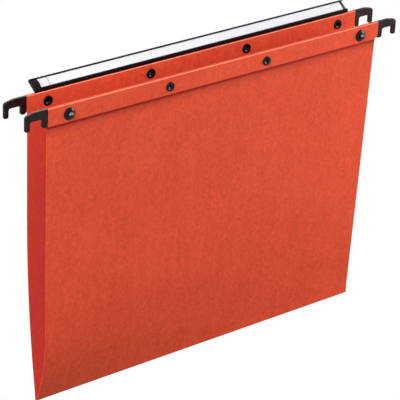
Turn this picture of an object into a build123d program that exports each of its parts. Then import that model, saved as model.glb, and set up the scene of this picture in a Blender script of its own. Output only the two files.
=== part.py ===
from build123d import *
from math import atan2, cos, degrees, hypot, radians, sin
import os

# Hanging file folder: a kraft pocket that folds to a V hangs between two rails.
# Each rail is a steel bar in a kraft sleeve, with a moulded hook at either end.
# The rear rail carries a label holder with a clear magnifying window.
# X runs along the rails, Y from front to rear and Z up.
# The origin is the middle of the four hook seats, at the height of the drawer's runners.

# Rails, all in millimetres
rail_length = 310.0
rail_spacing = 27.5           # middle of the front rail to the middle of the rear rail
sleeve_height = 14.0
sleeve_fold_radius = 0.9      # outer radius of the two folds along a rail's top
flap_corner_length = 3.0      # cut-off lower right corner of the flap
flap_corner_height = 2.3
wall_step = 1.0               # the inner wall ends this far above the flap's lower edge
paper_thickness = 0.4
bar_thickness = 1.2
bar_edge_gap = 0.45           # from a bar's lower edge to the inner wall's
bar_end_gap = 4.0             # from a bar's end to the sleeve's end
layer_clearance = 0.05        # between the layers inside a sleeve, and round a barrel

# Hooks
hook_reach = 10.0             # from the sleeve's end to the seat, which sets the runners' spacing
hook_slot_width = 10.2
hook_prong_width = 4.0
hook_thickness = 2.4
hook_seat_drop = 6.8          # from a rail's top down to the seat
hook_end_gap = 0.3            # from the sleeve's end to the hook's leg
hook_shoulder_drop = 1.8      # fall of the arm's top towards its outer corner
hook_shoulder_radius = 12.0
hook_corner_radius = 3.0
hook_slot_radius = 1.8
hook_tip_radius = 1.3
hook_edge_radius = 0.5
hook_flat_share = 0.55        # share of the arm's top that runs level
tongue_length = 30.0
tongue_step = 1.2             # the tongue ends this far above the bar's lower edge
tongue_thickness = 0.9

# Pocket
fold_depth = 248.0            # from a rail's top down to the bottom fold
leaf_inset = 0.3              # from the sleeve's end to the leaf's edge
crease_clearance = 0.05       # from a leaf's edge to its crease line
front_hang_share = 0.74       # share of the front leaf that hangs plumb at its left edge
rear_hang_share = 0.36        # the same for the rear leaf

# Press studs and rivets
stud_inset = 18.0             # from the rail's end to the press stud
rivet_pitch = 90.6            # between the two rivets of a rail
front_rivet_shift = -2.3      # the front pair sits a little to the left
stud_offset = 0.7             # studs and rivets sit this far below the sleeve's middle
barrel_radius = 1.75
barrel_bore_radius = 1.3
flange_height = 0.7
flange_radius = 4.0           # rolled rings on the inner faces
flange_mouth_radius = 2.4     # mouth of the dish in a ring
flange_edge_radius = 0.55
flange_lip_radius = 0.25
rivet_head_radius = 3.75      # rolled rings on the outer faces
stud_radius = 4.85
stud_rim_height = 0.4
stud_shoulder_radius = 2.6
stud_shoulder_height = 1.5
stud_post_radius = 2.0
stud_post_length = 1.6
stud_tip_height = 0.4
clinch_height = 0.6           # end of a barrel inside a stud or a socket
socket_height = 3.0
socket_edge_radius = 0.9
socket_web = 0.5              # between the barrel's end and the bore
snap_clearance = 0.05         # from a post to its bore
spring_wire_radius = 0.25
spring_groove_clearance = 0.06
spring_gap_angle = 50.0       # degrees left open in the spring ring
spring_depth_share = 0.5      # place of the spring along the bore

# Label holder
holder_inset = 7.5            # from the rail's end to the holder's end
holder_angle = 33.0           # degrees, slope of the label to the level
holder_setback = 0.8          # from the rail's inner face to the holder's front
holder_wall = 0.7
holder_rear_wall = 0.5
holder_floor = 0.9
holder_lip_height = 0.5
holder_lip_reach = 0.4
holder_rear_lip_reach = 0.25
holder_foot_height = 1.2
slot_front_run = 2.2          # from the rail's inner face to the slot's front corner
slot_front_rise = 1.7         # from the rail's top to the slot's front corner
window_seat_width = 8.6       # between the holder's walls
ledge_width = 0.35
label_slot_height = 0.4
label_thickness = 0.25
label_clearance = 0.07
label_end_step = 3.0          # the label ends this far short of the holder's open end
window_edge_height = 0.6
window_crown_height = 0.9
window_clearance = 0.03
plug_length = 6.0
leg_thickness = 0.8
leg_end_step = 5.5            # from the holder's end to the leg's
leg_edge_gap = 1.4            # from the leg's lower edge to the flap's

overrun = 5.0                 # how far a cut passes the faces it cuts

# Places worked out from the sizes above
rail_top = hook_seat_drop
rail_bottom = rail_top - sleeve_height
rail_end = rail_length / 2
rail_middle = rail_spacing / 2
seat = rail_end + hook_reach
sleeve_thickness = 2 * paper_thickness + bar_thickness + tongue_thickness + 2 * layer_clearance
inner_face = rail_middle - sleeve_thickness / 2
outer_face = rail_middle + sleeve_thickness / 2
wall_bottom = rail_bottom + wall_step
core_top = rail_top - sleeve_fold_radius - layer_clearance
bar_height = core_top - wall_bottom - bar_edge_gap
tongue_height = bar_height - tongue_step
fold_level = rail_top - fold_depth
stud_level = rail_top - sleeve_height / 2 - stud_offset
hole_radius = barrel_radius + layer_clearance
holder_end = rail_end - holder_inset
leg_back = outer_face + leg_thickness
front_rivets = (front_rivet_shift - rivet_pitch / 2, front_rivet_shift + rivet_pitch / 2)
rear_rivets = (-rivet_pitch / 2, rivet_pitch / 2)
studs = (stud_inset - rail_end, rail_end - stud_inset)


# Pieces of a rail are made on the rear side, where outward is towards +Y, and mirrored to the front
def to_front(piece):
    return mirror(piece, about=Plane.XZ)


def to_left(piece):
    return mirror(piece, about=Plane.YZ)


# Extrudes a section drawn in Y and Z from one X to another
def along_rail(section, start, end):
    return extrude(Plane.YZ.offset(start) * section, amount=end - start)


# Rounds the corners of a section that lie nearest to the given points
def rounded(section, radius, points):
    for point in points:
        corner = section.vertices().sort_by_distance(point)[0]
        section = fillet(corner, radius)
    return section


# Round holes for the barrels, through everything from the inner face outwards
def barrel_holes(places):
    depth = sleeve_thickness + leg_thickness + 2 * overrun
    hole = Rot(X=-90) * Cylinder(hole_radius, depth, align=(Align.CENTER, Align.CENTER, Align.MIN))
    return [Pos(x, inner_face - overrun, stud_level) * hole for x in places]


# Kraft strip that goes up the inner side of the bar, over its top and down the outer side as a flap
def sleeve(rivets):
    outline = Polyline(
        (inner_face, wall_bottom),
        (inner_face, rail_top),
        (outer_face, rail_top),
        (outer_face, rail_bottom),
        (outer_face - paper_thickness, rail_bottom),
        (outer_face - paper_thickness, rail_top - paper_thickness),
        (inner_face + paper_thickness, rail_top - paper_thickness),
        (inner_face + paper_thickness, wall_bottom),
        close=True,
    )
    inside = [
        (inner_face + paper_thickness, rail_top - paper_thickness),
        (outer_face - paper_thickness, rail_top - paper_thickness),
    ]
    section = rounded(make_face(outline), sleeve_fold_radius - paper_thickness, inside)
    section = rounded(section, sleeve_fold_radius, [(inner_face, rail_top), (outer_face, rail_top)])
    strip = along_rail(section, -rail_end, rail_end)
    corner = make_face(Polyline(
        (rail_end, rail_bottom),
        (rail_end - flap_corner_length, rail_bottom),
        (rail_end, rail_bottom + flap_corner_height),
        close=True,
    ))
    cut = extrude(Plane.XZ.offset(-outer_face - overrun) * corner, amount=overrun + paper_thickness)
    return strip - cut - barrel_holes(studs + rivets)


# Flat steel bar inside the sleeve, against the flap
def bar(rivets):
    length = rail_length - 2 * bar_end_gap
    middle = outer_face - paper_thickness - layer_clearance - bar_thickness / 2
    level = core_top - bar_height / 2
    return Pos(0, middle, level) * Box(length, bar_thickness, bar_height) - barrel_holes(studs + rivets)


# Moulded hook at a rail's right end: an arm, an outer prong, and a tongue that the stud's barrel pins
def hook():
    leg_inner = rail_end + hook_end_gap
    leg_outer = seat - hook_slot_width / 2
    prong_inner = seat + hook_slot_width / 2
    prong_outer = prong_inner + hook_prong_width
    shoulder = leg_inner + hook_flat_share * (prong_outer - leg_inner)
    section = make_face(Polyline(
        (leg_inner, rail_top),
        (shoulder, rail_top),
        (prong_outer, rail_top - hook_shoulder_drop),
        (prong_outer, rail_bottom),
        (prong_inner, rail_bottom),
        (prong_inner, 0),
        (leg_outer, 0),
        (leg_outer, rail_bottom),
        (leg_inner, rail_bottom),
        close=True,
    ))
    tips = [(x, rail_bottom) for x in (prong_outer, prong_inner, leg_outer, leg_inner)]
    section = rounded(section, hook_shoulder_radius, [(shoulder, rail_top)])
    section = rounded(section, hook_corner_radius, [(prong_outer, rail_top - hook_shoulder_drop)])
    section = rounded(section, hook_slot_radius, [(prong_inner, 0), (leg_outer, 0)])
    section = rounded(section, hook_tip_radius, tips)
    plate = extrude(Plane.XZ.offset(-rail_middle) * section, amount=hook_thickness / 2, both=True)
    faces = plate.faces().filter_by(Axis.Y)
    plate = fillet(faces.edges(), hook_edge_radius)
    inner = inner_face + paper_thickness + layer_clearance
    tongue = Pos(leg_inner + hook_edge_radius, inner, core_top) * Box(
        tongue_length + hook_edge_radius,
        tongue_thickness,
        tongue_height,
        align=(Align.MAX, Align.MIN, Align.MAX),
    )
    return plate + tongue - barrel_holes(studs)


# One end of a leaf, inner face first: a plumb run from the rail and an arc that turns in to the fold,
# or a straight run where nothing hangs plumb
def leaf_end(x, hang_share):
    top = Vector(x, inner_face, wall_bottom - crease_clearance)
    fold = Vector(x, crease_clearance, fold_level)
    run = top.Y - fold.Y
    if hang_share > 0:
        knee = Vector(x, top.Y, top.Z - hang_share * (top.Z - fold.Z))
        drop = knee.Z - fold.Z
        radius = (drop ** 2 + run ** 2) / (2 * run)
        turn = atan2(drop, radius - run)
        centre = Vector(x, top.Y - radius, knee.Z)

        def on_arc(distance, share):
            angle = share * turn
            return centre + Vector(0, distance * cos(angle), -distance * sin(angle))

        out = paper_thickness
        half = 1 / 2
        edges = [
            Line(top, knee),
            ThreePointArc(knee, on_arc(radius, half), fold),
            Line(fold, on_arc(radius + out, 1)),
            ThreePointArc(on_arc(radius + out, 1), on_arc(radius + out, half), knee + Vector(0, out, 0)),
            Line(knee + Vector(0, out, 0), top + Vector(0, out, 0)),
            Line(top + Vector(0, out, 0), top),
        ]
    else:
        drop = top.Z - fold.Z
        length = hypot(run, drop)
        out = Vector(0, drop, -run) * (paper_thickness / length)
        knee = (top + fold) * (1 / 2)
        corners = [top, knee, fold, fold + out, knee + out, top + out]
        edges = [Line(a, b) for a, b in zip(corners, corners[1:] + corners[:1])]
    return Wire(edges)


# Leaf of the pocket: it bellies outwards at its left edge and is drawn straight at its right edge
def leaf(left_hang_share):
    edge = rail_end - leaf_inset
    return Solid.make_loft([leaf_end(-edge, left_hang_share), leaf_end(edge, 0)], ruled=True)


# Solids of revolution are drawn as radius and height, with the height along the outward direction
def turned(section):
    return revolve(Plane.XZ * section, axis=Axis.Z)


def outward(x, level, piece):
    return Pos(x, level, stud_level) * Rot(X=-90) * piece


# Half section of a rolled ring that stands on a face, with a dish down to the barrel's bore
def ring_section(radius):
    section = make_face(Polyline(
        (barrel_bore_radius, 0),
        (radius, 0),
        (radius, flange_height),
        (flange_mouth_radius, flange_height),
        close=True,
    ))
    section = rounded(section, flange_edge_radius, [(radius, flange_height)])
    return rounded(section, flange_lip_radius, [(flange_mouth_radius, flange_height)])


# Barrel between two heights
def barrel_section(low, high):
    return make_face(Polyline(
        (barrel_bore_radius, low),
        (barrel_radius, low),
        (barrel_radius, high),
        (barrel_bore_radius, high),
        close=True,
    ))


# Eyelet that clinches a stud or a socket: its ring shows on the rail's inner face
def eyelet(x, stack):
    ring = Rot(X=180) * turned(ring_section(flange_radius))
    return outward(x, inner_face, ring + turned(barrel_section(0, stack + clinch_height)))


# Tubular rivet through a rail, with a rolled ring on either face
def rivet(x, stack):
    ring = Rot(X=180) * turned(ring_section(flange_radius))
    head = Pos(0, 0, stack) * turned(ring_section(rivet_head_radius))
    return outward(x, inner_face, ring + turned(barrel_section(0, stack)) + head)


# Male press stud on the front rail's outer face, domed, with a post that a socket grips
def stud(x):
    post_top = stud_shoulder_height + stud_post_length
    tip = post_top + stud_tip_height
    recess = clinch_height + layer_clearance
    section = make_face([
        Line((hole_radius, 0), (stud_radius, 0)),
        Line((stud_radius, 0), (stud_radius, stud_rim_height)),
        RadiusArc(
            (stud_radius, stud_rim_height),
            (stud_shoulder_radius, stud_shoulder_height),
            -stud_radius,
        ),
        Line((stud_shoulder_radius, stud_shoulder_height), (stud_post_radius, stud_shoulder_height)),
        Line((stud_post_radius, stud_shoulder_height), (stud_post_radius, post_top)),
        Line((stud_post_radius, post_top), (stud_post_radius - stud_tip_height, tip)),
        Line((stud_post_radius - stud_tip_height, tip), (0, tip)),
        Line((0, tip), (0, recess)),
        Line((0, recess), (hole_radius, recess)),
        Line((hole_radius, recess), (hole_radius, 0)),
    ])
    return outward(x, outer_face, turned(section))


# Height of the spring's middle above the socket's base
def spring_level():
    floor = clinch_height + layer_clearance + socket_web
    return floor + spring_depth_share * (socket_height - floor)


# Socket on the rear rail's outer face, with a groove for its spring ring
def socket(x):
    bore = stud_post_radius + snap_clearance
    recess = clinch_height + layer_clearance
    floor = recess + socket_web
    half_groove = spring_wire_radius + spring_groove_clearance
    groove = bore + 2 * half_groove
    section = make_face(Polyline(
        (hole_radius, 0),
        (stud_radius, 0),
        (stud_radius, socket_height),
        (bore, socket_height),
        (bore, spring_level() + half_groove),
        (groove, spring_level() + half_groove),
        (groove, spring_level() - half_groove),
        (bore, spring_level() - half_groove),
        (bore, floor),
        (0, floor),
        (0, recess),
        (hole_radius, recess),
        close=True,
    ))
    section = rounded(section, socket_edge_radius, [(stud_radius, socket_height)])
    return outward(x, leg_back, turned(section))


# Open spring ring in the socket's groove
def socket_spring(x):
    ring_radius = stud_post_radius + snap_clearance + spring_groove_clearance + spring_wire_radius
    wire = Pos(ring_radius, spring_level()) * Circle(spring_wire_radius)
    ring = revolve(Plane.XZ * wire, axis=Axis.Z, revolution_arc=360 - spring_gap_angle)
    return outward(x, leg_back, ring)


# Section in the label's own plane: distance up the slope, and height above the slot's floor
def sloped(section):
    return Pos(inner_face + slot_front_run, rail_top + slot_front_rise) * Rot(Z=holder_angle) * section


def block(low_x, high_x, low_y, high_y):
    return Pos((low_x + high_x) / 2, (low_y + high_y) / 2) * Rectangle(high_x - low_x, high_y - low_y)


def window_top():
    return label_slot_height + window_edge_height + 2 * window_clearance


# Black holder: sloping floor with ledges and lips, and a shorter leg over the rail's top and down its back
def label_channel():
    lip_top = window_top() + holder_lip_height
    wide = window_seat_width
    rear = wide + holder_rear_wall
    slope = block(-holder_wall, rear, -holder_floor, 0)
    slope += block(-holder_wall, ledge_width, -holder_floor, label_slot_height)
    slope += block(wide - ledge_width, rear, -holder_floor, label_slot_height)
    slope += block(-holder_wall, 0, -holder_floor, lip_top)
    slope += block(wide, rear, -holder_floor, lip_top)
    slope += block(-holder_wall, holder_lip_reach, window_top(), lip_top)
    slope += block(wide - holder_rear_lip_reach, rear, window_top(), lip_top)
    angle = radians(holder_angle)
    front = inner_face + holder_setback
    apron_back = inner_face + slot_front_run - window_top() * sin(angle)
    apron_top = rail_top + slot_front_rise + window_top() * cos(angle)
    section = sloped(slope) + block(front, apron_back, rail_top, apron_top)
    leg_top = rail_top + holder_foot_height + holder_floor
    leg_end = holder_end - leg_end_step
    leg = block(front, leg_back, rail_top, rail_top + holder_foot_height)
    leg += block(outer_face, leg_back, rail_bottom + leg_edge_gap, leg_top)
    channel = along_rail(section, -holder_end, holder_end) + along_rail(leg, -leg_end, leg_end)
    return channel - barrel_holes(studs + rear_rivets)


# Half-round bar of the window, with thin edges under the lips and a crown that magnifies
def window_section():
    low = label_slot_height + window_clearance
    edge = low + window_edge_height
    near = window_clearance
    far = window_seat_width - window_clearance
    crown_near = near + holder_lip_reach + window_clearance
    crown_far = far - holder_rear_lip_reach - window_clearance
    return make_face([
        Line((near, low), (far, low)),
        Line((far, low), (far, edge)),
        Line((far, edge), (crown_far, edge)),
        ThreePointArc(
            (crown_far, edge),
            ((crown_near + crown_far) / 2, edge + window_crown_height),
            (crown_near, edge),
        ),
        Line((crown_near, edge), (near, edge)),
        Line((near, edge), (near, low)),
    ])


def label_section(clearance, height):
    near = ledge_width + clearance
    return block(near, window_seat_width - near, clearance, clearance + height)


def label_window():
    return along_rail(sloped(window_section()), plug_length - holder_end + window_clearance, holder_end)


# Plug that closes the left end, with the window's outline and a foot in the label's slot
def label_end_plug():
    foot = label_section(window_clearance, label_slot_height)
    return along_rail(sloped(window_section() + foot), -holder_end, plug_length - holder_end)


# Paper strip, drawn out at the open right end
def label_strip():
    section = sloped(label_section(label_clearance, label_thickness))
    return along_rail(section, plug_length - holder_end + label_clearance, holder_end - label_end_step)


front_stack = sleeve_thickness
rear_stack = sleeve_thickness + leg_thickness
right_hook = hook()
pieces = {
    "front_sleeve": to_front(sleeve(front_rivets)),
    "front_bar": to_front(bar(front_rivets)),
    "front_left_hook": to_front(to_left(right_hook)),
    "front_right_hook": to_front(right_hook),
    "front_leaf": to_front(leaf(front_hang_share)),
    "rear_leaf": leaf(rear_hang_share),
    "rear_sleeve": sleeve(rear_rivets),
    "rear_bar": bar(rear_rivets),
    "rear_left_hook": to_left(right_hook),
    "rear_right_hook": right_hook,
    "label_channel": label_channel(),
    "label_end_plug": label_end_plug(),
    "label_window": label_window(),
    "label_strip": label_strip(),
}
for index, side in enumerate(("left", "right")):
    pieces[f"front_{side}_stud"] = to_front(stud(studs[index]))
    pieces[f"front_{side}_stud_eyelet"] = to_front(eyelet(studs[index], front_stack))
    pieces[f"front_{side}_rivet"] = to_front(rivet(front_rivets[index], front_stack))
    pieces[f"rear_{side}_socket"] = socket(studs[index])
    pieces[f"rear_{side}_socket_spring"] = socket_spring(studs[index])
    pieces[f"rear_{side}_socket_eyelet"] = eyelet(studs[index], rear_stack)
    pieces[f"rear_{side}_rivet"] = rivet(rear_rivets[index], rear_stack)

os.makedirs("parts", exist_ok=True)
for name, piece in pieces.items():
    export_step(piece, f"parts/{name}.step")

hinge_length = hypot(inner_face, wall_bottom - fold_level)
rest_angle = degrees(atan2(inner_face, wall_bottom - fold_level))
print("top crease at Y", inner_face, "Z", wall_bottom, "bottom fold at Z", fold_level)
print("crease to fold", round(hinge_length, 3), "lean at rest", round(rest_angle, 3), "degrees")
print("seats at X", seat, "Y", rail_middle, "studs at X", rail_end - stud_inset, "Z", stud_level)
print("stud post starts", outer_face + stud_shoulder_height, "socket mouth", leg_back + socket_height)
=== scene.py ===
import math
import bpy
from mathutils import Matrix, Vector


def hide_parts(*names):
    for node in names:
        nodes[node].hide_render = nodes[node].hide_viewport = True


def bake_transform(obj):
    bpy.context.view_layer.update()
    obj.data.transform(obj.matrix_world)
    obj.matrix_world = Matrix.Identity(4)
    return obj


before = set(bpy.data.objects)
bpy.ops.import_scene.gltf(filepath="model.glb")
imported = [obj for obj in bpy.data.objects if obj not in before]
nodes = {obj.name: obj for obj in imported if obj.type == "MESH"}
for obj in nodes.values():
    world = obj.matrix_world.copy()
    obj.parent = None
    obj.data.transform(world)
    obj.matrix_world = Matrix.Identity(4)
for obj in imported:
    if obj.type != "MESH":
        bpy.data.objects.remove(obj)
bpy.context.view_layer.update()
print("frame loaded:", len(nodes), "nodes")


# shader maths as expressions on sockets
class Wire:
    def __init__(self, tree, socket=None):
        self.tree = tree
        self.socket = socket

    def node(self, kind, settings, sockets, output=0):
        made = self.tree.nodes.new(kind)
        for name, value in settings.items():
            setattr(made, name, value)
        for name, value in sockets.items():
            if isinstance(value, Wire):
                self.tree.links.new(value.socket, made.inputs[name])
            else:
                made.inputs[name].default_value = value
        return Wire(self.tree, made.outputs[output] if made.outputs else None)

    def maths(self, operation, first, second=0.0):
        return self.node("ShaderNodeMath", {"operation": operation}, {0: first, 1: second})

    def __add__(self, other):
        return self.maths("ADD", self, other)

    __radd__ = __add__

    def __sub__(self, other):
        return self.maths("SUBTRACT", self, other)

    def __rsub__(self, other):
        return self.maths("SUBTRACT", other, self)

    def __mul__(self, other):
        return self.maths("MULTIPLY", self, other)

    __rmul__ = __mul__

    def __abs__(self):
        return self.maths("ABSOLUTE", self)

    def axis(self, index):
        return self.node("ShaderNodeSeparateXYZ", {}, {"Vector": self}, index)

    def ramp(self, low, high):  # 0 at low, 1 at high, clamped
        return self.node("ShaderNodeMapRange", {"interpolation_type": "SMOOTHSTEP"},
                         {"Value": self, "From Min": low, "From Max": high})

    def swing(self, share):  # a noise about its middle, times a share
        return (self - 0.5) * share

    def tint(self, low, high):  # a colour between two, by this factor; 6, 7 and 2 are Mix's colour sockets
        return self.node("ShaderNodeMix", {"data_type": "RGBA"}, {0: self, 6: low, 7: high}, 2)

    def noise(self, scale=1.0, detail=2.0, rough=0.5):
        return self.node("ShaderNodeTexNoise", {},
                         {"Vector": self, "Scale": scale, "Detail": detail, "Roughness": rough})

    def drawn(self, size, turn=(0.0, 0.0, 0.0)):  # coordinates stretched to a grain of this size
        return self.node("ShaderNodeMapping", {"vector_type": "TEXTURE"},
                         {"Vector": self, "Rotation": turn, "Scale": size})

    def bump(self, strength, depth):
        return self.node("ShaderNodeBump", {},
                         {"Height": self, "Strength": strength, "Distance": depth})


# a material: fixed values on the shader's own sockets, the rest from its surface function
def makeFinish(name, surface, fixed):
    material = bpy.data.materials.new(name)
    material.use_nodes = True
    tree = material.node_tree
    shader = tree.nodes["Principled BSDF"]
    for socket, value in fixed.items():
        shader.inputs[socket].default_value = value
    point = Wire(tree).node("ShaderNodeTexCoord", {}, {}, "Object")
    for socket, wire in surface(point).items():
        tree.links.new(wire.socket, shader.inputs[socket])
    return material


# dyed kraft board: soft mottling, a few fibres, paler along the top folds from wear and a painted highlight,
# with painted shade and light on the leaves
kraft = {
    "deep": (0.55, 0.047, 0.016, 1.0), "pale": (0.83, 0.099, 0.039, 1.0), "tone": 0.5, "specular": 0.2,
    "cloud": {"scale": 26.0}, "cloudShare": 0.40,
    "blotSize": (0.0046, 0.0046, 0.0078), "blotShare": 0.38,
    "streakSize": (0.0045, 0.0045, 0.060), "streakShare": 0.28,
    "pulpSize": (0.0022, 0.0022, 0.0030), "pulp": {"detail": 3.0, "rough": 0.55}, "pulpShare": 1.1,
    "fibreSize": (0.0011, 0.0011, 0.0090), "fibreTurns": (0.12, 1.05, 2.30),
    "fibre": {"detail": 1.0}, "fibreCut": (0.60, 0.74), "fibreShare": 0.12,
    "lowShadeReach": (0.10, 0.25), "lowShadeShare": 0.13,  # painted shade, a little deeper towards the bottom fold
    "inner": (0.69, 0.050, 0.050, 1.0), "innerShadeShare": 0.5,  # painted shade, redder inside the pocket as from light bounced there
    "mouth": (0.94, 0.088, 0.062, 1.0), "mouthZ": (-0.075, -0.012),  # and painted light, paler at its mouth
    # painted shadow of the flap: the leaf darkens below the flap's edge, with a deep red line right under it
    "flapEdgeZ": -0.0072, "flapSoft": 0.0002,
    "shade": (0.30, 0.018, 0.009, 1.0), "flapShadowReach": 0.0120, "flapShadowShare": 0.46,
    "flapShadowLine": (0.35, 0.0002, 0.0002, 1.0), "flapShadowLineReach": (0.0022, 0.0042), "flapShadowLineShare": 0.66,
    # the rounded top folds are paler along their edges, part real rubbing and part painted highlight, most on
    # the edges that face the front
    "railMiddle": 0.01375, "crestOut": (0.0008, 0.0011), "crestZ": (0.0061, 0.0066),
    "rubbed": (0.97, 0.37, 0.22, 1.0), "rubAndHighlightShare": 0.85, "backRubAndHighlight": 0.3,
    "rub": {"scale": 160.0, "detail": 3.0}, "rubCut": (0.35, 0.65), "rubLeast": 0.65, "rubMore": 0.35,
    "roughness": 0.74, "tooth": {"scale": 2600.0}, "toothRough": 0.16, "rubSmooth": 0.1,
    "pulpHeight": 0.6, "toothHeight": 0.35, "fibreHeight": 0.25, "bump": (0.22, 0.00012),
}


def kraftSurface(point):
    across, up = point.axis(1), point.axis(2)
    cloud = point.noise(**kraft["cloud"])
    blot = point.drawn(kraft["blotSize"]).noise()
    streak = point.drawn(kraft["streakSize"]).noise()
    pulp = point.drawn(kraft["pulpSize"]).noise(**kraft["pulp"])
    tooth = point.noise(**kraft["tooth"])
    strands = [point.drawn(kraft["fibreSize"], (0.0, turn, 0.0)).noise(**kraft["fibre"])
               for turn in kraft["fibreTurns"]]
    fibres = sum(strand.ramp(*kraft["fibreCut"]) for strand in strands)

    # the board's own colour, with painted shade deepening it towards the bottom fold and reddening the inner
    # faces, and painted light paling them at the pocket's mouth
    fine = pulp.swing(kraft["pulpShare"]) + fibres * kraft["fibreShare"]
    broad = (cloud.swing(kraft["cloudShare"]) + blot.swing(kraft["blotShare"])
             + streak.swing(kraft["streakShare"]))
    # painted shade: the board is darker towards the bottom fold
    low = (0.0 - up).ramp(*kraft["lowShadeReach"])
    tone = kraft["tone"] + fine + broad - low * kraft["lowShadeShare"]
    inside = point.node("ShaderNodeAttribute", {"attribute_name": "inside"}, {}, "Fac")
    # painted shade on the faces inside the pocket, turning to painted light near its mouth
    inner = up.ramp(*kraft["mouthZ"]).tint(kraft["inner"], kraft["mouth"])
    dyed = (inside * kraft["innerShadeShare"]).tint(tone.tint(kraft["deep"], kraft["pale"]), inner)

    # painted shadow: the outer faces darken below the flap's edge, where the flap shades them
    below = kraft["flapEdgeZ"] - up
    under = below.ramp(-kraft["flapSoft"], 0.0) * (1.0 - inside)
    # painted shadow, fading downwards from the flap's edge
    crease = under * (1.0 - below.ramp(0.0, kraft["flapShadowReach"]))
    # a narrow deep red painted shadow line just below the edge
    flapShadowLine = under * (1.0 - below.ramp(*kraft["flapShadowLineReach"]))
    shaded = (crease * kraft["flapShadowShare"]).tint(dyed, kraft["shade"])
    board = (flapShadowLine * kraft["flapShadowLineShare"]).tint(shaded, kraft["flapShadowLine"])

    # the top folds are paler along their edges: part rubbing, part painted highlight
    off = across - across.maths("SIGN", across) * kraft["railMiddle"]
    edges = (0.0 - off).ramp(*kraft["crestOut"]) + off.ramp(*kraft["crestOut"]) * kraft["backRubAndHighlight"]
    patches = point.noise(**kraft["rub"]).ramp(*kraft["rubCut"])
    wearAndHighlight = edges * up.ramp(*kraft["crestZ"]) * (kraft["rubLeast"] + patches * kraft["rubMore"])

    height = pulp * kraft["pulpHeight"] + tooth * kraft["toothHeight"] + fibres * kraft["fibreHeight"]
    return {
        "Base Color": (wearAndHighlight * kraft["rubAndHighlightShare"]).tint(board, kraft["rubbed"]),
        "Roughness": kraft["roughness"] + tooth.swing(kraft["toothRough"]) - wearAndHighlight * kraft["rubSmooth"],
        "Normal": height.bump(*kraft["bump"]),
    }


kraftBoard = makeFinish("kraft_board", kraftSurface, {"Specular IOR Level": kraft["specular"]})

# satin moulded plastic of the hooks
hookPlastic = {
    "dark": (0.008, 0.0035, 0.0035, 1.0), "light": (0.024, 0.0125, 0.0125, 1.0), "specular": 0.12,
    "grain": {"scale": 2400.0, "detail": 3.0, "rough": 0.6}, "grainShare": 0.4,
    "flowSize": (0.006, 0.03, 0.004), "flowShare": 0.6, "toneCut": (0.36, 0.64),
    "roughness": 0.33, "grainRough": 0.18, "flowRough": 0.12, "bump": (0.25, 0.00006),
}


def hookSurface(point):
    grain = point.noise(**hookPlastic["grain"])
    flow = point.drawn(hookPlastic["flowSize"]).noise()
    tone = (flow * hookPlastic["flowShare"] + grain * hookPlastic["grainShare"]).ramp(*hookPlastic["toneCut"])
    uneven = grain.swing(hookPlastic["grainRough"]) + flow.swing(hookPlastic["flowRough"])
    return {
        "Base Color": tone.tint(hookPlastic["dark"], hookPlastic["light"]),
        "Roughness": hookPlastic["roughness"] + uneven,
        "Normal": grain.bump(*hookPlastic["bump"]),
    }


hookFinish = makeFinish("satin_black_plastic", hookSurface, {"Specular IOR Level": hookPlastic["specular"]})

# black lacquered metal of studs, eyelets and rivets
lacquer = {
    "dark": (0.002, 0.0012, 0.0012, 1.0), "worn": (0.014, 0.012, 0.012, 1.0), "specular": 0.19,
    "rub": {"scale": 2200.0, "detail": 4.0, "rough": 0.65}, "wornCut": (0.58, 0.80),
    "bareAndGlint": (0.72, 0.71, 0.69, 1.0), "patch": {"scale": 1300.0, "detail": 1.0}, "patchCut": (0.46, 0.56),
    "tipY": (-0.0172, -0.0180), "tipZ": (-0.0012, 0.0002),  # bare metal on top of the studs' tips: part wear, part painted highlight
    "roughness": 0.07, "rubRough": 0.12, "ripple": {"scale": 900.0}, "bump": (0.12, 0.00010),
}


def lacquerSurface(point):
    ripple = point.noise(**lacquer["ripple"])
    rub = point.noise(**lacquer["rub"])
    tip = point.axis(1).ramp(*lacquer["tipY"]) * point.axis(2).ramp(*lacquer["tipZ"])
    # bare patches on the top of each tip: part wear, part painted highlight
    bareAndGlint = tip * point.noise(**lacquer["patch"]).ramp(*lacquer["patchCut"])
    coat = rub.ramp(*lacquer["wornCut"]).tint(lacquer["dark"], lacquer["worn"])
    return {
        "Base Color": bareAndGlint.tint(coat, lacquer["bareAndGlint"]),
        "Metallic": bareAndGlint,
        "Roughness": lacquer["roughness"] + rub * lacquer["rubRough"],
        "Normal": ripple.bump(*lacquer["bump"]),
    }


lacquerFinish = makeFinish("black_lacquer", lacquerSurface, {"Specular IOR Level": lacquer["specular"]})

# extruded black plastic of the label holder, with faint lines along its length
holder = {
    "dark": (0.004, 0.002, 0.002, 1.0), "light": (0.011, 0.006, 0.006, 1.0), "specular": 0.10,
    "lineSize": (0.30, 0.0007, 0.0007), "line": {"detail": 3.0}, "grain": {"scale": 1800.0},
    "roughness": 0.30, "lineRough": 0.16, "grainRough": 0.08, "grainHeight": 0.25, "bump": (0.12, 0.00008),
}


def holderSurface(point):
    lines = point.drawn(holder["lineSize"]).noise(**holder["line"])
    grain = point.noise(**holder["grain"])
    uneven = lines.swing(holder["lineRough"]) + grain.swing(holder["grainRough"])
    return {
        "Base Color": lines.tint(holder["dark"], holder["light"]),
        "Roughness": holder["roughness"] + uneven,
        "Normal": (lines + grain * holder["grainHeight"]).bump(*holder["bump"]),
    }


holderFinish = makeFinish("extruded_black_plastic", holderSurface, {"Specular IOR Level": holder["specular"]})

# clear window strip, a little blue, with fine rubbing along its length
clear = {
    "body": (0.30, 0.32, 0.38, 1.0), "rubbed": (0.50, 0.52, 0.56, 1.0),
    "alpha": 0.07, "specular": 0.6, "ior": 1.48,
    "rubSize": (0.05, 0.0006, 0.0006), "rub": {"detail": 3.0, "rough": 0.6}, "rubCut": (0.55, 0.85),
    "roughness": 0.08, "rubRough": 0.16, "bump": (0.05, 0.00005),
}


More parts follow.
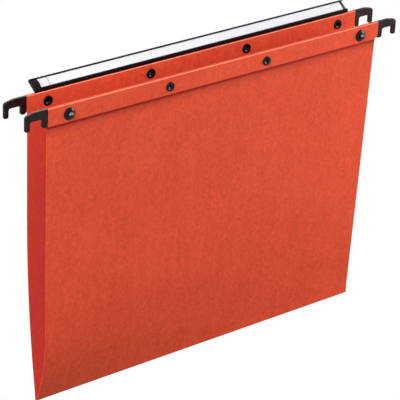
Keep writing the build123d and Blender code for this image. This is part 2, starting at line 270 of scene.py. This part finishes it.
def clearSurface(point):
    rub = point.drawn(clear["rubSize"]).noise(**clear["rub"])
    return {
        "Base Color": rub.tint(clear["body"], clear["rubbed"]),
        "Roughness": clear["roughness"] + rub.ramp(*clear["rubCut"]) * clear["rubRough"],
        "Normal": rub.bump(*clear["bump"]),
    }


clearFinish = makeFinish("clear_plastic", clearSurface, {
    "Alpha": clear["alpha"], "Specular IOR Level": clear["specular"], "IOR": clear["ior"]})

# white label card with one thin printed line near its left end
card = {
    "white": (0.90, 0.90, 0.92, 1.0), "shade": (0.88, 0.88, 0.905, 1.0), "specular": 0.4,
    "pulp": {"scale": 1100.0, "detail": 3.0},
    "ink": (0.20, 0.20, 0.23, 1.0), "inkShare": 0.8,
    "lineX": -0.1327, "lineHalf": (0.00021, 0.00039),  # full ink to none, from the line's middle
    "roughness": 0.62, "pulpRough": 0.14, "bump": (0.04, 0.00004),
}


def cardSurface(point):
    pulp = point.noise(**card["pulp"])
    paper = pulp.tint(card["shade"], card["white"])
    printed = 1.0 - abs(point.axis(0) - card["lineX"]).ramp(*card["lineHalf"])
    return {
        "Base Color": (printed * card["inkShare"]).tint(paper, card["ink"]),
        "Roughness": card["roughness"] + pulp.swing(card["pulpRough"]),
        "Normal": pulp.bump(*card["bump"]),
    }


cardFinish = makeFinish("label_card", cardSurface, {"Specular IOR Level": card["specular"]})

# rolled steel of the bars and spring wire
steel = {
    "dark": (0.38, 0.38, 0.39, 1.0), "light": (0.58, 0.57, 0.56, 1.0), "metallic": 1.0,
    "rollSize": (0.02, 0.0006, 0.0006), "roll": {"detail": 4.0, "rough": 0.6},
    "roughness": 0.26, "rollRough": 0.2, "bump": (0.10, 0.00005),
}


def steelSurface(point):
    rolled = point.drawn(steel["rollSize"]).noise(**steel["roll"])
    return {
        "Base Color": rolled.tint(steel["dark"], steel["light"]),
        "Roughness": steel["roughness"] + rolled * steel["rollRough"],
        "Normal": rolled.bump(*steel["bump"]),
    }


steelFinish = makeFinish("rolled_steel", steelSurface, {"Metallic": steel["metallic"]})
print("finishes made")

# which finish each of the record's material slots gets
finishOf = {
    "kraft": kraftBoard, "bar_steel": steelFinish, "hook_plastic": hookFinish, "black_metal": lacquerFinish,
    "spring_steel": steelFinish, "holder_plastic": holderFinish, "clear_plastic": clearFinish,
    "label_paper": cardFinish,
}
for node in nodes.values():
    for place in node.material_slots:
        slotName = place.material.name.split(".")[0]
        place.material = finishOf[slotName]
print("finishes laid on the nodes")

seedSize = 0.001  # the small plane that a piece or a chain starts from


def deselect():
    bpy.ops.object.select_all(action="DESELECT")


# an empty mesh to draw in, left in edit mode
def startPiece(name):
    deselect()
    bpy.ops.mesh.primitive_plane_add(size=seedSize)
    piece = bpy.context.active_object
    piece.name = name
    piece.data.name = name
    bpy.ops.object.mode_set(mode="EDIT")
    bpy.ops.mesh.select_all(action="SELECT")
    bpy.ops.mesh.delete(type="VERT")
    return piece


# one vertex, extruded from point to point
def drawChain(points):
    bpy.ops.mesh.primitive_plane_add(size=seedSize, location=points[0])
    bpy.ops.mesh.merge(type="CENTER")
    for before, after in zip(points, points[1:]):
        bpy.ops.mesh.extrude_vertices_move(TRANSFORM_OT_translate={"value": Vector(after) - Vector(before)})


def applyAll(piece):
    bpy.ops.object.mode_set(mode="OBJECT")
    for modifier in list(piece.modifiers):
        bpy.ops.object.modifier_apply(modifier=modifier.name)


# the pocket: one folded sheet, bellied at the left end and straight at the right
pocket = {
    "halfWidth": 0.1547, "creaseY": 0.01225, "creaseZ": -0.00625, "foldZ": -0.2412,
    "board": 0.0004,
    "frontHang": 0.74, "rearHang": 0.36,  # share of the left end that hangs plumb
    "steps": 18, "nearFold": (0.97, 0.985), "crossCuts": 59,
    "foldRadius": 0.0005, "foldRun": 0.012, "foldSteps": 6,  # the leaves ease apart into a round fold
    "frontOnly": -0.006,  # faces further forward than this are the front leaf's
    "slack": 0.0003, "slackSize": 0.075, "slackDepth": 1, "slackMargin": 0.035,
    "smoothAngle": 28.0, "innerFacing": 0.3,  # a face that leans this much inwards is an inner one
    "blendHalf": 0.0006,
}


# one leaf from crease to fold, plumb and then on an arc, or straight where nothing hangs
def leafSection(x, side, hang):
    top = Vector((side * pocket["creaseY"], pocket["creaseZ"]))
    fold = Vector((0.0, pocket["foldZ"]))
    steps = [step / pocket["steps"] for step in range(pocket["steps"])]
    shares = steps + list(pocket["nearFold"])
    if hang:
        knee = Vector((top.x, top.y + (fold.y - top.y) * hang))
        across, down = top.x, knee.y - fold.y
        radius = (across * across + down * down) / (2.0 * across)  # the arc leaves the knee plumb
        centre = Vector((knee.x - radius, knee.y))
        sweep = math.asin(down / abs(radius))
        lower = [centre + radius * Vector((math.cos(sweep * share), 0.0))
                 + Vector((0.0, -abs(radius) * math.sin(sweep * share))) for share in shares]
    else:
        knee = (top + fold) / 2.0
        lower = [knee.lerp(fold, share) for share in shares]
    upper = [top.lerp(knee, share) for share in steps]
    radius = pocket["foldRadius"]
    for place in lower:
        ease = max(0.0, 1.0 - (place.y - fold.y) / pocket["foldRun"])
        place.x += side * radius * ease * ease
    turn = [math.pi / 2.0 * step / pocket["foldSteps"] for step in range(pocket["foldSteps"] + 1)]
    bend = [fold + Vector((side * radius * math.cos(angle), radius - radius * math.sin(angle)))
            for angle in turn]
    return [(x, place.x, place.y) for place in upper + lower + bend]


def bothLeaves(x, frontHang, rearHang):
    front = leafSection(x, -1.0, frontHang)
    rear = leafSection(x, 1.0, rearHang)
    return front + rear[-2::-1]


sheet = startPiece("pocket_sheet")
drawChain(bothLeaves(-pocket["halfWidth"], pocket["frontHang"], pocket["rearHang"]))
drawChain(bothLeaves(pocket["halfWidth"], 0.0, 0.0))
bpy.ops.mesh.select_all(action="SELECT")
bpy.ops.mesh.bridge_edge_loops(number_cuts=pocket["crossCuts"], interpolation="LINEAR")
bpy.ops.mesh.select_all(action="SELECT")
bpy.ops.mesh.normals_make_consistent(inside=False)
bpy.ops.object.mode_set(mode="OBJECT")
outward = sum(face.normal.y for face in sheet.data.polygons if face.center.y < pocket["frontOnly"])
if outward > 0.0:  # the front leaf has to face the front
    bpy.ops.object.mode_set(mode="EDIT")
    bpy.ops.mesh.select_all(action="SELECT")
    bpy.ops.mesh.flip_normals()
    bpy.ops.object.mode_set(mode="OBJECT")

# faint slack in the middle of each leaf, none at crease, fold and ends
slackGroup = sheet.vertex_groups.new(name="slack")
for vertex in sheet.data.vertices:
    edge = min(pocket["creaseZ"] - vertex.co.z, vertex.co.z - pocket["foldZ"],
               pocket["halfWidth"] - abs(vertex.co.x))
    share = max(0.0, min(1.0, edge / pocket["slackMargin"]))
    slackGroup.add([vertex.index], share * share * (3.0 - 2.0 * share), "REPLACE")
slackCloud = bpy.data.textures.new("slack_cloud", "CLOUDS")
slackCloud.noise_scale = pocket["slackSize"]
slackCloud.noise_depth = pocket["slackDepth"]
slack = sheet.modifiers.new("slack", "DISPLACE")
slack.texture = slackCloud
slack.texture_coords = "LOCAL"
slack.strength = pocket["slack"]
slack.mid_level = 0.5
slack.vertex_group = "slack"
board = sheet.modifiers.new("board", "SOLIDIFY")
board.thickness = pocket["board"]
board.offset = 1.0
board.use_even_offset = False
applyAll(sheet)
bpy.ops.object.shade_smooth_by_angle(angle=math.radians(pocket["smoothAngle"]))
inside = sheet.data.attributes.new("inside", "FLOAT", "FACE")
for face in sheet.data.polygons:  # 1 on the faces that look into the pocket
    inwards = -face.center.y * face.normal.y
    inside.data[face.index].value = float(inwards > pocket["innerFacing"] * abs(face.center.y))
sheet.data.materials.append(kraftBoard)
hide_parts("front_leaf", "rear_leaf")
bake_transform(sheet)
print("pocket sheet:", len(sheet.data.polygons), "faces")

# camera at the photograph's viewing angle
view = {
    "lens": 199.0086, "sensor": 36.0, "clip": 50.0, "place": (-0.94955, -1.20042, 0.64811),
    "heading": 38.2350, "pitch": 26.4518, "roll": 2.2831,
}
camera = bpy.data.objects.new("camera", bpy.data.cameras.new("camera"))
bpy.context.scene.collection.objects.link(camera)
camera.data.lens = view["lens"]
camera.data.sensor_width = view["sensor"]
camera.data.sensor_fit = "HORIZONTAL"
camera.data.clip_end = view["clip"]
camera.matrix_world = (Matrix.Translation(view["place"])
                       @ Matrix.Rotation(-math.radians(view["heading"]), 4, "Z")
                       @ Matrix.Rotation(math.radians(90.0 - view["pitch"]), 4, "X")
                       @ Matrix.Rotation(math.radians(view["roll"]), 4, "Z"))
bpy.context.scene.camera = camera

# soft studio light: a large panel high on the left, one on each side, and one behind for the back
lamps = {
    "leftHigh": {"place": (-0.95, -0.60, 0.85), "target": (-0.1, 0.0, -0.05), "size": 0.8, "power": 20.6},
    "rightPanel": {"place": (0.735, -0.41, 0.11), "target": (0.1, 0.0, -0.045), "size": 0.5, "power": 6.5},
    "leftPanel": {"place": (-0.80, 0.03, 0.24), "target": (-0.12, 0.0, -0.08), "size": 0.5, "power": 4.1},
    "backPanel": {"place": (0.35, 1.30, 0.60), "target": (0.0, 0.0, -0.10), "size": 1.0, "power": 15.0},
}
for name, lamp in lamps.items():
    light = bpy.data.lights.new(name, "AREA")
    light.shape = "SQUARE"
    light.size = lamp["size"]
    light.energy = lamp["power"]
    panel = bpy.data.objects.new(name, light)
    bpy.context.scene.collection.objects.link(panel)
    panel.location = lamp["place"]
    aim = Vector(lamp["target"]) - Vector(lamp["place"])
    panel.rotation_euler = aim.to_track_quat("-Z", "Y").to_euler()
    panel.visible_camera = False

white = (1.0, 1.0, 1.0, 1.0)
lookingRays = ("Is Camera Ray", "Is Glossy Ray", "Is Transmission Ray")


# an emptied node tree to start wiring in
def emptyTree(owner):
    owner.use_nodes = True
    owner.node_tree.nodes.clear()
    return Wire(owner.node_tree)


# 1 where the camera, a reflection or a clear piece looks at it, 0 where it only gives light
def seenDirectly(start):
    seen = sum(start.node("ShaderNodeLightPath", {}, {}, ray) for ray in lookingRays)
    return seen.maths("MINIMUM", seen, 1.0)


# plain surround: white where it is looked at, faint light otherwise
surround = {"tone": (0.97, 0.98, 1.0, 1.0), "strength": 0.10}
world = bpy.data.worlds.new("surround")
bpy.context.scene.world = world
start = emptyTree(world)
lit = start.node("ShaderNodeBackground", {}, {"Color": surround["tone"], "Strength": surround["strength"]})
shown = start.node("ShaderNodeBackground", {}, {"Color": white})
choice = start.node("ShaderNodeMixShader", {}, {0: seenDirectly(start), 1: lit, 2: shown})
start.node("ShaderNodeOutputWorld", {}, {"Surface": choice})

# pale floor far below the hanging folder, with its shadow fading into white
ground = {
    "z": -0.95, "size": 14.0, "tone": (0.62, 0.62, 0.62, 1.0),
    "shadowReach": (0.35, 0.95), "shadowShare": 0.5,
}
deselect()
bpy.ops.mesh.primitive_plane_add(size=ground["size"], location=(0.0, 0.0, ground["z"]))
floor = bpy.context.active_object
floor.name = "floor"
floorPaint = bpy.data.materials.new("floor_paint")
start = emptyTree(floorPaint)
floorPoint = start.node("ShaderNodeTexCoord", {}, {}, "Object")
reach = start.node("ShaderNodeVectorMath", {"operation": "LENGTH"}, {0: floorPoint}, "Value")
shadow = (1.0 - reach.ramp(*ground["shadowReach"])) * ground["shadowShare"]
paint = start.node("ShaderNodeBsdfDiffuse", {}, {"Color": ground["tone"]})
glow = start.node("ShaderNodeEmission", {}, {"Color": white, "Strength": 1.0})
floorMix = start.node("ShaderNodeMixShader", {}, {0: seenDirectly(start) * (1.0 - shadow), 1: paint, 2: glow})
start.node("ShaderNodeOutputMaterial", {}, {"Surface": floorMix})
floor.data.materials.append(floorPaint)

bpy.context.scene.view_settings.view_transform = "Standard"
print("camera, light and floor set")
